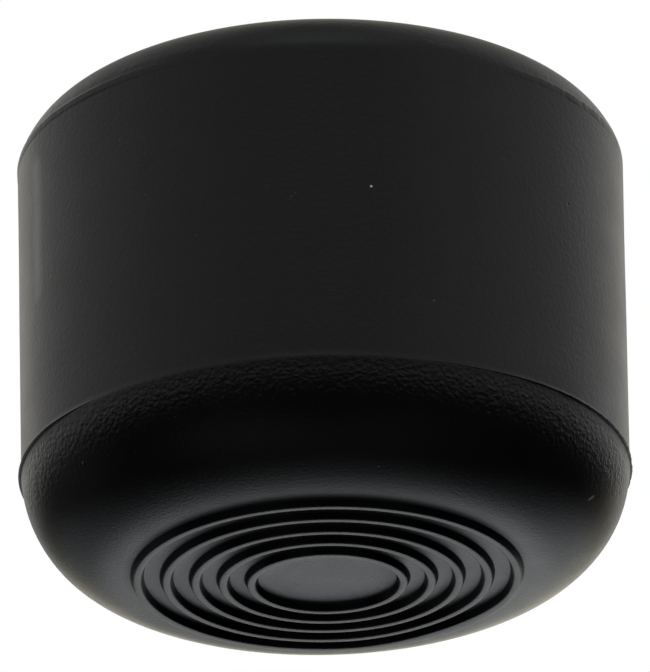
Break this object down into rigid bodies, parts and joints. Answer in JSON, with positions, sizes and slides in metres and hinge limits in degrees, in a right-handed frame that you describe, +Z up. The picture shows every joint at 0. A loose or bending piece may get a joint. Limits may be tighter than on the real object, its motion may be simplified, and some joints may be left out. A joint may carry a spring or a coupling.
{
  "type": "rubber tube end cap",
  "caption": "Round black rubber cap that pushes over the end of a tube, with a blind socket, a rounded shoulder and raised grip rings on a slightly crowned sole.",
  "frame": {"origin": "on the cap's axis, in the plane that the sole rests on", "axes": "+Z up the axis, out of the socket's mouth; X and Y are free, because the cap is round"},
  "size_m": [0.03, 0.03, 0.0245],
  "materials": {
    "rubber": "black moulded rubber, satin on the side wall and sole, fine leathery grain on the upper shoulder"
  },
  "bodies": {
    "root": {"end_cap": "rubber"}
  },
  "joints": []
}
